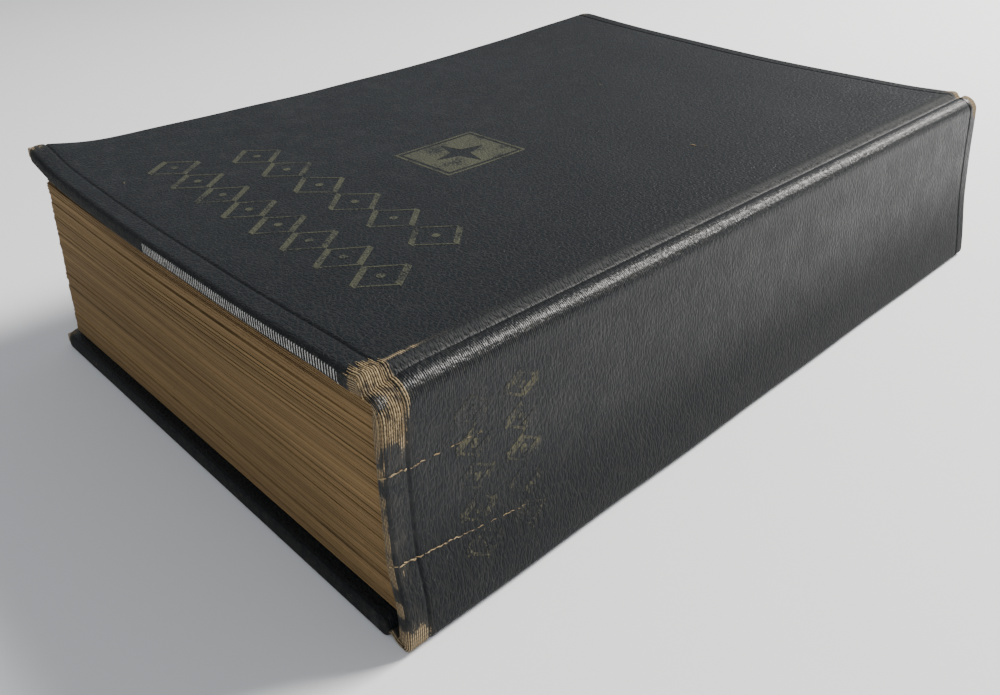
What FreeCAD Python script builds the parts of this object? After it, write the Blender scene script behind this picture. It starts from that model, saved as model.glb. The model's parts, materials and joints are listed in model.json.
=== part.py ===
"""Thick case-bound manual lying on its back cover: cloth case, sewn text block, endpapers.

Millimetres. +X runs from the spine to the fore edge, +Y from tail to head, +Z up. The origin
is the centre of the footprint, on the surface that the book lies on. Inside this file, sheets
and profiles are drawn with x = 0 at the spine's outer face, and export() moves them over.
"""
import FreeCAD, Part
import math
import os

# Overall sizes of the case
book_length = 197.0         # head to tail
book_width = 141.0          # spine face to the boards' fore edge
book_thickness = 46.0       # outside the case, at the joints

# Case: boards, cloth and joints
board_thickness = 2.5
cloth_thickness = 0.5
turn_in_width = 15.0        # cloth folded over the inside of a board
cover_edge_rounding = 0.7
cover_lift = 5.5            # rise of the warped front board at its fore edge
bend_start = 18.0           # distance from the spine's face where that warp begins
shoulder_radius = 3.5       # rounded edges of the spine
groove_centre = 4.9         # joint line, from the spine's face
groove_depth = 0.8
hinge_rise = 0.35           # height of each hinge line above the cover's outer face

# Spine, from the case inwards
stiffener_thickness = 0.8
stiffener_margin = 4.0      # stiffener to the outer face of each cover
hollow_gap = 0.3
lining_thickness = 0.25
lining_margin = 4.0         # lining to the head and tail of the case
mull_thickness = 0.2
mull_margin = 15.0
mull_side_margin = 1.0      # mull and lining to the text block's first and last sheet
thread_thickness = 0.3
thread_height = 0.4
tape_thickness = 0.25
tape_width = 14.0
tape_spacing = 48.0
tape_count = 3
kettle_margin = 12.0        # kettle stitches to the ends of the leaves
thread_leg = 0.5

# Text block
section_count = 24
section_gap = 0.03          # air between neighbouring sections
square_head = 2.5           # boards past the leaves at head and tail
square_fore = 3.0           # boards past the leaves at the fore edge
block_swell = 2.2           # extra thickness of the block at its fore edge
gutter_width = 5.2          # strip beside the folds that stays put when leaves turn
gutter_clearance = 0.3

# Endpapers and the loose leading leaves
pastedown_thickness = 0.2
pastedown_margin = 3.0
flyleaf_thickness = 0.15
leaf_thickness = 0.12
leaf_count = 5
sheet_gap = 0.15            # air between sheets that turn separately

# Stamping
foil_thickness = 0.04
foil_centre = 70.5          # middle of the stamped design, from the spine's face
band_height = 12.2
band_offsets = (22.4, 40.0)     # middle of each ornament band, from the head
band_widths = (91.0, 80.0)
band_repeats = (8, 6)
thick_stroke = 1.7
thin_stroke = 0.55
emblem_width = 20.0
emblem_height = 24.0
emblem_offset = 74.8
emblem_frame = 0.7
emblem_border = 0.8
star_radius = 7.5
star_waist = 2.4
spine_band_offsets = (17.0, 27.0)
spine_band_height = 7.5
spine_band_width = 30.0
spine_band_repeats = 5

# Places that follow from the sizes above
half_length = book_length / 2
cover_thickness = board_thickness + 2 * cloth_thickness
trough_radius = groove_depth + hinge_rise
groove_half_width = math.sqrt(trough_radius ** 2 - hinge_rise ** 2)
board_start = groove_centre + groove_half_width
shoulder_end = groove_centre - groove_half_width
stiffener_inner = cloth_thickness + stiffener_thickness
lining_start = stiffener_inner + cloth_thickness + hollow_gap
mull_start = lining_start + lining_thickness
thread_start = mull_start + mull_thickness
tape_start = thread_start + thread_thickness
fold_start = tape_start + tape_thickness
leaf_start = fold_start + gutter_width + gutter_clearance
leaf_end = book_width - square_fore
leaf_half_length = half_length - square_head
covers_inside = cover_thickness + pastedown_thickness
rear_flyleaf_bottom = covers_inside + sheet_gap
block_bottom = rear_flyleaf_bottom + flyleaf_thickness + sheet_gap
front_flyleaf_top = book_thickness - covers_inside - sheet_gap
leaves_depth = leaf_count * (leaf_thickness + sheet_gap)
block_top = front_flyleaf_top - flyleaf_thickness - leaves_depth - sheet_gap
section_pitch = (block_top - block_bottom) / section_count

vec = FreeCAD.Vector


def lift_at(x, lift):
    """Height gained at x by a sheet whose fore edge, at book_width, has risen by lift."""
    if lift == 0 or x <= bend_start:
        return 0.0
    reach = book_width - bend_start
    radius = (reach ** 2 + lift ** 2) / (2 * lift)
    return radius - math.sqrt(radius ** 2 - (x - bend_start) ** 2)


def long_edges(x0, x1, z, lift):
    """Edges along one face of a sheet from x0 to x1: straight, then a circular arc."""
    if lift == 0:
        return [Part.makeLine(vec(x0, 0, z), vec(x1, 0, z))]
    knee = max(x0, bend_start)
    middle = (knee + x1) / 2
    arc = Part.Arc(vec(knee, 0, z + lift_at(knee, lift)),
                   vec(middle, 0, z + lift_at(middle, lift)),
                   vec(x1, 0, z + lift_at(x1, lift))).toShape()
    if x0 >= bend_start:
        return [arc]
    return [Part.makeLine(vec(x0, 0, z), vec(knee, 0, z)), arc]


def extrude_profile(edges, y0, y1):
    """Closed XZ outline pushed along Y from y0 to y1."""
    wire = Part.Wire(Part.__sortEdges__(edges))
    face = Part.Face(wire)
    face.translate(vec(0, y0, 0))
    return face.extrude(vec(0, y1 - y0, 0))


def sheet(x0, x1, y0, y1, z, thickness, lift, top_lift=None):
    """A sheet on height z that rises by lift at the fore edge."""
    if top_lift is None:
        top_lift = lift
    top = z + thickness
    edges = long_edges(x0, x1, z, lift) + long_edges(x0, x1, top, top_lift)
    for x in (x0, x1):
        edges.append(Part.makeLine(vec(x, 0, z + lift_at(x, lift)),
                                   vec(x, 0, top + lift_at(x, top_lift))))
    return extrude_profile(edges, y0, y1)


def box(x0, x1, y0, y1, z0, z1):
    return Part.makeBox(x1 - x0, y1 - y0, z1 - z0, vec(x0, y0, z0))


def flipped(shape):
    """The same piece for the back of the book: mirrored about mid thickness."""
    return shape.mirror(vec(0, 0, book_thickness / 2), vec(0, 0, 1))


def export(name, shape):
    """Write one node, moved so that the footprint's centre is the origin."""
    placed = shape.copy()
    placed.translate(vec(-book_width / 2, 0, 0))
    placed.exportStep(os.path.join("parts", name + ".step"))


# Covers ---------------------------------------------------------------------------------

def cover_pieces(lift):
    """Board, wrapped cloth and pastedown of the upper cover, warped by lift."""
    inner = book_thickness - cover_thickness
    shell = sheet(board_start, book_width, -half_length, half_length,
                  inner, cover_thickness, lift)
    outer_corners = [edge for edge in shell.Edges
                     if edge.BoundBox.XMin > book_width - 1 or edge.BoundBox.YLength < 1]
    outer_corners = [edge for edge in outer_corners if edge.BoundBox.XMin > board_start + 1]
    shell = shell.makeFillet(cover_edge_rounding, outer_corners)
    board = sheet(board_start + cloth_thickness, book_width - cloth_thickness,
                  -half_length + cloth_thickness, half_length - cloth_thickness,
                  inner + cloth_thickness, board_thickness, lift)
    window_end = book_width - turn_in_width
    window_half = half_length - turn_in_width
    window = sheet(board_start + cloth_thickness, window_end, -window_half, window_half,
                   inner, cloth_thickness, lift)
    cloth = shell.cut(board).cut(window)
    lining = sheet(board_start + cloth_thickness, book_width - pastedown_margin,
                   -half_length + pastedown_margin, half_length - pastedown_margin,
                   inner - pastedown_thickness, pastedown_thickness, lift)
    return board, cloth, lining.fuse(window).removeSplitter()


def joint_cloth():
    """Cloth that dips into the groove between the spine and the upper cover."""
    hinge = vec(groove_centre, 0, book_thickness + hinge_rise)
    rings = []
    for radius in (trough_radius, trough_radius + cloth_thickness):
        rings.append(Part.makeCylinder(radius, book_length,
                                       hinge - vec(0, half_length, 0), vec(0, 1, 0)))
    ring = rings[1].cut(rings[0])
    slot = box(shoulder_end, board_start, -half_length, half_length,
               book_thickness - trough_radius - cloth_thickness, book_thickness)
    return ring.common(slot)


# Spine ----------------------------------------------------------------------------------

def spine_outline(inset):
    """Outline of the spine panel with rounded shoulders, inset from its outer face."""
    radius = shoulder_radius - inset
    low = inset
    high = book_thickness - inset
    slant = radius * (1 - math.sqrt(0.5))
    points_low = (vec(shoulder_radius, 0, low), vec(inset + slant, 0, low + slant),
                  vec(inset, 0, low + radius))
    points_high = (vec(inset, 0, high - radius), vec(inset + slant, 0, high - slant),
                   vec(shoulder_radius, 0, high))
    return [Part.makeLine(vec(shoulder_end, 0, low), points_low[0]),
            Part.Arc(*points_low).toShape(),
            Part.makeLine(points_low[2], points_high[0]),
            Part.Arc(*points_high).toShape(),
            Part.makeLine(points_high[2], vec(shoulder_end, 0, high))]


def spine_cloth():
    """Cloth over the spine, turned in round both ends of the stiffener."""
    edges = spine_outline(0) + spine_outline(cloth_thickness)
    for z in (0, book_thickness - cloth_thickness):
        edges.append(Part.makeLine(vec(shoulder_end, 0, z),
                                   vec(shoulder_end, 0, z + cloth_thickness)))
    cloth = extrude_profile(edges, -half_length, half_length)
    low = stiffener_margin
    high = book_thickness - stiffener_margin
    for side in (-1, 1):
        outer = side * half_length
        inner = side * (half_length - cloth_thickness)
        flap_end = side * (half_length - turn_in_width)
        wall = box(cloth_thickness, stiffener_inner + cloth_thickness,
                   min(outer, inner), max(outer, inner), low, high)
        flap = box(stiffener_inner, stiffener_inner + cloth_thickness,
                   min(outer, flap_end), max(outer, flap_end), low, high)
        cloth = cloth.fuse(wall).fuse(flap)
    return cloth.removeSplitter()


def spine_stiffener():
    return box(cloth_thickness, stiffener_inner, cloth_thickness - half_length,
               half_length - cloth_thickness, stiffener_margin,
               book_thickness - stiffener_margin)


def spine_sheet(x0, thickness, margin):
    """A strip glued along the folds: mull or lining paper."""
    reach = half_length - margin
    return box(x0, x0 + thickness, -reach, reach,
               block_bottom + mull_side_margin, block_top - mull_side_margin)


def tape_places():
    middle = (tape_count - 1) / 2
    return [(index - middle) * tape_spacing for index in range(tape_count)]


def sewing_tapes():
    tapes = [box(tape_start, fold_start, y - tape_width / 2, y + tape_width / 2,
                 block_bottom, block_top) for y in tape_places()]
    return Part.makeCompound(tapes)


def sewing_threads():
    """One stitch over each tape for every section, and a kettle chain near each end."""
    stitches = []
    for index in range(section_count):
        z = block_bottom + (index + 0.5) * section_pitch - thread_height / 2
        for y in tape_places():
            reach = tape_width / 2 + thread_leg
            bar = box(thread_start, fold_start, y - reach, y + reach, z, z + thread_height)
            room = box(tape_start, fold_start, y - tape_width / 2, y + tape_width / 2,
                       z, z + thread_height)
            stitches.append(bar.cut(room))
    radius = thread_thickness / 2
    for side in (-1, 1):
        y = side * (leaf_half_length - kettle_margin)
        foot = vec(thread_start + radius, y, block_bottom + section_pitch / 2)
        chain = (section_count - 1) * section_pitch
        stitches.append(Part.makeCylinder(radius, chain, foot, vec(0, 0, 1)))
    return Part.makeCompound(stitches)


# Text block -----------------------------------------------------------------------------

def section(index):
    """One folded section: round at the fold, slightly thicker towards the fore edge."""
    low = block_bottom + index * section_pitch + section_gap / 2
    high = block_bottom + (index + 1) * section_pitch - section_gap / 2
    low_lift = block_swell * index / section_count
    high_lift = block_swell * (index + 1) / section_count
    radius = (high - low) / 2
    start = fold_start + radius
    edges = long_edges(start, leaf_end, low, low_lift)
    edges += long_edges(start, leaf_end, high, high_lift)
    edges.append(Part.makeLine(vec(leaf_end, 0, low + lift_at(leaf_end, low_lift)),
                               vec(leaf_end, 0, high + lift_at(leaf_end, high_lift))))
    edges.append(Part.Arc(vec(start, 0, low), vec(fold_start, 0, low + radius),
                          vec(start, 0, high)).toShape())
    return extrude_profile(edges, -leaf_half_length, leaf_half_length)


def turning_leaf(z, thickness, lift):
    return sheet(leaf_start, leaf_end, -leaf_half_length, leaf_half_length,
                 z, thickness, lift)


def leading_leaves():
    """Front flyleaf and the leaves under it, each following the warp a little less."""
    leaves = []
    top = front_flyleaf_top
    for index in range(leaf_count + 1):
        thickness = leaf_thickness if index else flyleaf_thickness
        share = (leaf_count + 1 - index) / (leaf_count + 2)
        lift = block_swell + (cover_lift - block_swell) * share
        name = "leaf_%d" % index if index else "front_flyleaf"
        leaves.append((name, turning_leaf(top - thickness, thickness, lift)))
        top -= thickness + sheet_gap
    return leaves


def gutter(z0, z1):
    """The glued strip beside the folds under the sheets that turn."""
    return box(fold_start, fold_start + gutter_width,
               -leaf_half_length, leaf_half_length, z0, z1)


# Stamping -------------------------------------------------------------------------------

def stroke(x0, y0, x1, y1, width):
    """Flat slanted stroke whose ends are cut along X."""
    half = width / 2
    corners = [vec(x0 - half, y0, 0), vec(x0 + half, y0, 0),
               vec(x1 + half, y1, 0), vec(x1 - half, y1, 0)]
    return Part.Face(Part.makePolygon(corners + corners[:1]))


def raised(faces, height):
    """Flat faces, which may overlap, pushed up into clean solids."""
    solids = [face.extrude(vec(0, 0, height)) for face in faces]
    return solids[0].multiFuse(solids[1:]).removeSplitter()


def ornament_band(width, height, repeats):
    """Flat faces of a row of thick-and-thin lozenges with a bead in each."""
    pitch = width / repeats
    reach = (pitch - thick_stroke) / 2
    faces = []
    for index in range(repeats):
        x = (index + 0.5) * pitch - width / 2
        for side in (-1, 1):
            faces.append(stroke(x - side * reach, 0, x, side * height / 2, thin_stroke))
            faces.append(stroke(x, side * height / 2, x + side * reach, 0, thick_stroke))
        bead = Part.Wire(Part.makeCircle(thick_stroke / 2, vec(x, 0, 0)))
        faces.append(Part.Face(bead))
    return faces


def emblem():
    """Flat faces of a framed panel with a four-pointed star left bare."""
    plates = []
    for shrink in (0, emblem_frame, emblem_frame + emblem_border):
        corner = vec(shrink - emblem_width / 2, shrink - emblem_height / 2, 0)
        plates.append(Part.makePlane(emblem_width - 2 * shrink, emblem_height - 2 * shrink,
                                     corner))
    points = []
    for index in range(8):
        radius = star_waist if index % 2 else star_radius
        angle = index * math.pi / 4
        points.append(vec(radius * math.cos(angle), radius * math.sin(angle), 0))
    star = Part.Face(Part.makePolygon(points + points[:1]))
    return plates[0].cut(plates[1]).Faces + plates[2].cut(star).Faces


def cover_foil(faces, offset):
    """Lay a flat design on the front cover, its middle offset from the head."""
    prism = raised(faces, cover_lift + 2)
    prism.translate(vec(foil_centre, half_length - offset, book_thickness - 1))
    skin = sheet(board_start, book_width, -half_length, half_length,
                 book_thickness, foil_thickness, cover_lift)
    return prism.common(skin).Solids


def spine_foil():
    """Bands that read across the spine near the head."""
    pieces = []
    faces = ornament_band(spine_band_width, spine_band_height, spine_band_repeats)
    for offset in spine_band_offsets:
        band = raised(faces, foil_thickness)
        band.rotate(vec(0, 0, 0), vec(0, 1, 0), -90)
        band.translate(vec(0, half_length - offset, book_thickness / 2))
        pieces += band.Solids
    return Part.makeCompound(pieces)


# Nodes ----------------------------------------------------------------------------------

def main():
    os.makedirs("parts", exist_ok=True)

    board, cloth, pastedown = cover_pieces(cover_lift)
    title = []
    for width, repeats, offset in zip(band_widths, band_repeats, band_offsets):
        title += cover_foil(ornament_band(width, band_height, repeats), offset)
    export("front_board", board)
    export("front_cover_cloth", cloth)
    export("front_pastedown", pastedown)
    export("front_title_stamping", Part.makeCompound(title))
    export("front_emblem_stamping", Part.makeCompound(cover_foil(emblem(), emblem_offset)))
    export("front_joint_cloth", joint_cloth())

    board, cloth, pastedown = cover_pieces(0)
    export("back_board", flipped(board))
    export("back_cover_cloth", flipped(cloth))
    export("back_pastedown", flipped(pastedown))
    export("back_joint_cloth", flipped(joint_cloth()))

    export("spine_cloth", spine_cloth())
    export("spine_title_stamping", spine_foil())
    export("spine_stiffener", spine_stiffener())
    export("spine_lining_paper", spine_sheet(lining_start, lining_thickness, lining_margin))
    export("spine_mull", spine_sheet(mull_start, mull_thickness, mull_margin))
    export("sewing_tapes", sewing_tapes())
    export("sewing_threads", sewing_threads())

    for index in range(section_count):
        export("section_%02d" % (index + 1), section(index))
    for name, leaf in leading_leaves():
        export(name, leaf)
    export("rear_flyleaf", turning_leaf(rear_flyleaf_bottom, flyleaf_thickness, 0))
    export("front_gutter", gutter(block_top + sheet_gap, front_flyleaf_top))
    export("rear_gutter", gutter(rear_flyleaf_bottom, block_bottom - sheet_gap))


main()
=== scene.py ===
import json
import math

import bmesh
import bpy
import numpy as np
from mathutils import Matrix, Vector


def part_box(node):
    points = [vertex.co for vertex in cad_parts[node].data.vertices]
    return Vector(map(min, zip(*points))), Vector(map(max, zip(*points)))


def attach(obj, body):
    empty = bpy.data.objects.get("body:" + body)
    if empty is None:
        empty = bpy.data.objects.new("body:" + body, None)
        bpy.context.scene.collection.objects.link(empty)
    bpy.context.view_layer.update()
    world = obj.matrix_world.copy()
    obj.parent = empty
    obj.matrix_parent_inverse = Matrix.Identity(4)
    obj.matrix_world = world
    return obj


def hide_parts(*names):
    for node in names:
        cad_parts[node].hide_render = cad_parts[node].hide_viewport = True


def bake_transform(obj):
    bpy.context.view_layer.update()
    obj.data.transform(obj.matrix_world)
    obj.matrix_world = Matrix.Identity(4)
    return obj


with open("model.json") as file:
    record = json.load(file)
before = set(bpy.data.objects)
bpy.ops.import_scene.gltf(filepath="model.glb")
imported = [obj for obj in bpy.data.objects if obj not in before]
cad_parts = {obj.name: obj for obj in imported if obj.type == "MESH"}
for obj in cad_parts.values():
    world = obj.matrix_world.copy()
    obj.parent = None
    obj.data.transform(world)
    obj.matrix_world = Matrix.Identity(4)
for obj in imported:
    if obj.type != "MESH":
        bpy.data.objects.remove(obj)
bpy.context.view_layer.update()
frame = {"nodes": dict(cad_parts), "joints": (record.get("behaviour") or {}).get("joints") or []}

# Everything below is worked out in millimetres and turned into metres when a mesh is made.
# d is the distance from the spine's face towards the fore edge, y runs from tail to head with
# 0 half way, z is up, and v runs from 0 at the tail to 1 at the head.
MM = 0.001
SEED = 11


def node_box(name):
    low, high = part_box(name)
    return np.array(low) / MM, np.array(high) / MM


def joint_place(name):
    found = [joint for joint in frame["joints"] if joint["name"] == name][0]
    return np.array(found["pos_m"]) / MM


spine_low, spine_high = node_box("spine_cloth")
cover_low, cover_high = node_box("back_cover_cloth")
SPINE_X = spine_low[0]
WIDTH = cover_high[0] - SPINE_X
HALF = spine_high[1]
LENGTH = 2 * HALF
TOP = spine_high[2]
COVER = cover_high[2]
BOARD_START = cover_low[0] - SPINE_X
SHOULDER_END = spine_high[0] - SPINE_X
GROOVE = joint_place("front_cover_hinge")[0] - SPINE_X
first_low, first_high = node_box("section_01")
FOLD = first_low[0] - SPINE_X
LEAF_END = first_high[0] - SPINE_X
LEAF_HALF = first_high[1]

SHOULDER = 3.4              # radius of the upper shoulder
LOWER_SHOULDER = 1.8        # radius of the edge that the spine stands on
SPINE_WALL = 1.85           # cloth, stiffener and turned-in cloth together
CAP_SWELL = 0.85            # extra thickness of the spine at its head and tail
SPINE_ROUND = 0.6           # rounding of the spine's head and tail edges
JOINT_WALL = 0.95           # the two thicknesses of cloth at the joint
CLOTH = 0.4
EDGE_ROUND = 1.0            # rounding of the covers' edges, seen from the side
CORNER_ROUND = 2.6          # rounding of the fore corners, seen from above
TOOLED_OFFSET = 4.5         # blind line to the head and tail edges
TOOLED_DEPTH = 0.3
GROOVE_DEPTH = 0.95
BACK_GROOVE_DEPTH = 0.9
TURN_IN = 15.0              # cloth folded round onto the inside
BEND_START = SHOULDER_END + 0.55
BEND_END = BOARD_START + 0.4
THREAD_PITCH = 0.38         # the cloth's own threads, seen where it is worn
THREAD_RADIUS = 0.15
RIM_GLINT_LINE = (11, 78)         # where the line of painted highlight dots starts and ends at the head
SHEET_PITCH = 4.0           # grid of boards and pastedowns
ARC_STEPS = 3               # rings to each quarter turn of a rounded rim
RIPPLE_WAVES = 9            # waves that make up a random field
HINGE_BEND = (BEND_START, BEND_END)
UPWARDS = (0, 0, 1)
OUT_OF_SPINE = (-1, 0, 0)


# Small shape functions ----------------------------------------------------------------

def smooth(low, high, value):
    share = np.clip((value - low) / (high - low), 0, 1)
    return share * share * (3 - 2 * share)


def bump(centre, width, value):
    return np.exp(-((value - centre) / width) ** 2)


def ripple(a, b, wavelength, seed):
    """Smooth random field between about -1 and 1, the same on every run."""
    rng = np.random.default_rng(seed)
    total = 0
    for _ in range(RIPPLE_WAVES):
        angle = rng.uniform(0, 2 * math.pi)
        phase = rng.uniform(0, 2 * math.pi)
        length = wavelength * rng.uniform(0.7, 1.6)
        total = total + np.sin((a * math.cos(angle) + b * math.sin(angle))
                               * 2 * math.pi / length + phase)
    return total / math.sqrt(RIPPLE_WAVES) * 0.7


def head_share(y):
    return (y + HALF) / LENGTH


def steps(low, high, pitch):
    """Evenly spaced places from low to high, about pitch apart."""
    return np.linspace(low, high, max(2, int(round((high - low) / pitch)) + 1))


# The case's outer shape ---------------------------------------------------------------

def spine_dip(y, z):
    """How far the spine panel has sunk in: most near the head, least at its lower edge."""
    v = head_share(y)
    depth = 0.7 + 1.3 * v ** 3
    sunk = depth * smooth(2, 19, z) * (1 - 0.25 * smooth(30, 42, z))
    bulge = 0.5 * v * v * bump(8, 5, z)
    return sunk - bulge + 0.12 * ripple(y, z, 30, SEED)


def cover_lift(d, y):
    """Warp of the front board: both fore corners have risen, the tail one more."""
    v = head_share(y)
    reach = np.clip((d - 16) / (WIDTH - 16), 0, 1.2)
    return (3.7 + 12 * (v - 0.66) ** 2) * reach ** (1.6 + v)


def corner_curl(d, y):
    """The cover's own curl at its fore corner at the head, which the leaves don't follow."""
    return 1.8 * np.exp(-((WIDTH - d) / 11) ** 2 - ((HALF - y) / 11) ** 2)


def groove_share(d):
    """The joint's groove, from 0 beside it to 1 along its middle, steeper at the board."""
    return np.where(d < GROOVE, bump(GROOVE, 0.95, d), bump(GROOVE, 0.72, d))


def board_top(d, y):
    """Outer face of the front cover and of the joint beside it."""
    v = head_share(y)
    slump = (0.25 + 1.1 * smooth(0.955, 1.0, v)) * (1 - smooth(5.0, 6.5, d))
    groove = GROOVE_DEPTH * groove_share(d)
    ridge = 0.22 * bump(BOARD_START + 0.8, 0.9, d)
    dents = 0.16 * ripple(d, y, 34, SEED + 1) * smooth(8, 20, d)
    warp = cover_lift(d, y) + corner_curl(d, y)
    return TOP - slump - groove + ridge + dents + warp


def tooled_line(y):
    """Depth of the blind line that runs parallel to the head and tail edges."""
    return TOOLED_DEPTH * bump(TOOLED_OFFSET, 0.27, HALF - np.abs(y))


def skin_columns():
    """Places along the book for the skins' grids, close together at edges and tooled lines."""
    edge = HALF - EDGE_ROUND
    line = HALF - TOOLED_OFFSET
    plain = steps(-edge + 6, edge - 6, 1.35)
    near_edge = edge - np.array([0, 0.35, 0.8, 1.3, 1.9, 2.5])
    near_line = line + np.array([-0.6, -0.4, -0.25, -0.1, 0.1, 0.25, 0.4, 0.6, 0.9])
    near_line = near_line[near_line < edge - 2.6]
    high = np.concatenate([near_edge, near_line])
    return np.unique(np.round(np.concatenate([plain, high, -high]), 4))


def round_corners(d, y):
    """Bend a rectangular grid of places so that the fore corners are round in plan."""
    edge_d = WIDTH - EDGE_ROUND
    edge_y = HALF - EDGE_ROUND
    p = np.clip(1 - (edge_d - d) / CORNER_ROUND, 0, 1)
    q = np.clip(1 - (edge_y - np.abs(y)) / CORNER_ROUND, 0, 1)
    near = (p > 0) & (q > 0)
    new_d = edge_d - CORNER_ROUND * (1 - p * np.sqrt(1 - q * q / 2))
    new_y = np.sign(y) * (edge_y - CORNER_ROUND * (1 - q * np.sqrt(1 - p * p / 2)))
    return np.where(near, new_d, d), np.where(near, new_y, y)


def spine_rows(y):
    """Cross-sections of the spine: lower edge, sunken panel and upper shoulder.

    Gives a grid of points (d, y, z), their normals and the wall behind them, and how far
    from the spine's face the shoulder ends.
    """
    line = tooled_line(y)
    full = SPINE_WALL + CAP_SWELL * smooth(6, 1.2, HALF - np.abs(y))
    points, normals, wall = [], [], []

    def add(d, z, side, up, thickness):
        points.append(np.stack(np.broadcast_arrays(d, y, z), 1))
        normals.append(np.stack(np.broadcast_arrays(-side + 0 * y, 0 * y, up), 1))
        wall.append(thickness + 0 * y)

    low_centre = LOWER_SHOULDER + spine_dip(y, LOWER_SHOULDER)
    for angle in np.linspace(-math.pi / 2, 0, 9)[:-1]:
        side, up = math.cos(angle), math.sin(angle)
        low_full = np.minimum(full, BEND_START - spine_dip(y, LOWER_SHOULDER))
        thickness = low_full - (low_full - JOINT_WALL) * up * up
        reach = LOWER_SHOULDER - line
        add(low_centre - reach * side, LOWER_SHOULDER + reach * up, side, up, thickness)
    centre = SHOULDER + spine_dip(y, TOP - SHOULDER)
    start = board_top(centre, y) - SHOULDER
    settle = centre - SHOULDER - spine_dip(y, start)
    for share in np.linspace(0, 1, 46)[:-1]:
        z = LOWER_SHOULDER + (start - LOWER_SHOULDER) * share
        d = spine_dip(y, z) + settle * smooth(0.6, 1, share) + line
        add(d, z, 1, 0, np.minimum(full, BEND_START - d))
    full = np.minimum(full, BEND_START - centre + SHOULDER)
    for angle in np.linspace(0, math.pi / 2, 13):
        side, up = math.cos(angle), math.sin(angle)
        thickness = full - (full - JOINT_WALL) * up * up
        reach = SHOULDER - line
        add(centre - reach * side, start + reach * up, side, up, thickness)
    return np.array(points), np.array(normals), np.array(wall), centre


def cover_rows(y, first, top_of):
    """Rows from where a shoulder ends, over the joint and the board to the fore edge."""
    joint_end = BOARD_START + 0.7
    edge = WIDTH - EDGE_ROUND
    rows = [first + (joint_end - first) * share for share in np.linspace(0, 1, 17)[1:]]
    board = np.concatenate([steps(joint_end, 10, 0.5)[1:], steps(10, edge - 4, 1.5)[1:],
                            edge - np.array([3.2, 2.4, 1.8, 1.3, 0.8, 0.35, 0])])
    rows += [0 * y + d for d in board]
    d, along = round_corners(np.array(rows), y + 0 * np.array(rows))
    z = top_of(d, along) - tooled_line(along)
    points = np.stack([d, along, z], 2)
    normals = np.stack([0 * d, 0 * d, 1 + 0 * d], 2)
    wall = JOINT_WALL + (COVER - JOINT_WALL) * smooth(5.4, 6.4, d)
    return points, normals, wall


# Meshes -------------------------------------------------------------------------------

def add_object(name, data):
    made = bpy.data.objects.new(name, data)
    bpy.context.scene.collection.objects.link(made)
    return made


def add_mesh(name, points, faces, attributes=None, smooth_shade=True):
    """New object from book coordinates (d, y, z) in millimetres."""
    points = np.asarray(points, float).reshape(-1, 3)
    placed = (points + np.array([SPINE_X, 0, 0])) * MM
    mesh = bpy.data.meshes.new(name)
    faces = faces.tolist() if isinstance(faces, np.ndarray) else faces
    mesh.from_pydata(placed.tolist(), [], faces)
    for key, values in (attributes or {}).items():
        values = np.asarray(values, np.float32)
        kind = "FLOAT_VECTOR" if values.ndim == 2 else "FLOAT"
        layer = mesh.attributes.new(key, kind, "POINT")
        field = "vector" if values.ndim == 2 else "value"
        layer.data.foreach_set(field, values.ravel())
    mesh.polygons.foreach_set("use_smooth", [smooth_shade] * len(mesh.polygons))
    mesh.update()
    return add_object(name, mesh)


def quads(index, flip=False):
    """Faces over a grid of vertex numbers."""
    a, b = index[:-1, :-1].ravel(), index[1:, :-1].ravel()
    c, d = index[1:, 1:].ravel(), index[:-1, 1:].ravel()
    corners = (a, d, c, b) if flip else (a, b, c, d)
    return np.stack(corners, 1)


def sheet_border(rows, columns, open_start):
    """Grid places round a sheet's edge, and which way is out of it there, as (d, y)."""
    last_row, last_column = rows - 1, columns - 1
    tail = [(i, 0, 0, -1) for i in range(rows)]
    fore = [(last_row, j, 1, 0) for j in range(1, columns)]
    head = [(i, last_column, 0, 1) for i in range(last_row - 1, -1, -1)]
    spine = [(0, j, -1, 0) for j in range(last_column - 1, 0, -1)]
    border = np.array(tail + fore + head + ([] if open_start else spine))
    place_i, place_j = border[:, 0], border[:, 1]
    out = border[:, 2:].astype(float)
    on_row = (place_i == last_row) | ((place_i == 0) & (not open_start))
    on_column = (place_j == 0) | (place_j == last_column)
    corner = on_row & on_column
    out[corner, 0] = np.where(place_i[corner] == 0, -1, 1)
    out[corner, 1] = np.where(place_j[corner] == 0, -1, 1)
    out /= np.hypot(out[:, 0], out[:, 1])[:, None]
    return place_i, place_j, out


def turn_round_corners(points, out):
    """Make the way out of the sheet follow the round fore corners."""
    over_d = points[:, 0] - (WIDTH - EDGE_ROUND - CORNER_ROUND)
    over_y = np.abs(points[:, 1]) - (HALF - EDGE_ROUND - CORNER_ROUND)
    near = (over_d > 1e-6) & (over_y > 1e-6)
    turned = np.stack([over_d, np.sign(points[:, 1]) * over_y], 1)
    turned /= np.linalg.norm(turned, axis=1, keepdims=True)
    return np.where(near[:, None], turned, out)


def rim_rings(top, under, normal, outward, radius, rim_wall):
    """Rings of points round a sheet's rim, from its outer face over to its inner one.

    Also gives, for each ring, how far round the rim it lies and its way past the edge.
    """
    rings, depth, past = [], [], []
    angles = np.linspace(0, math.pi / 2, ARC_STEPS + 1)[1:]
    for base, into, turned in ((top, -1, angles), (under, 1, angles[::-1])):
        for angle in turned:
            side, drop = radius * math.sin(angle), radius * (1 - math.cos(angle))
            rings.append(base + outward * side[:, None] + into * normal * drop[:, None])
            outer = into < 0
            depth.append(0 * radius + (angle / math.pi if outer else 1 - angle / math.pi))
            past.append(radius * angle if outer else
                        rim_wall + radius * (math.pi - 2 - angle))
    return rings, depth, past


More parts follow.
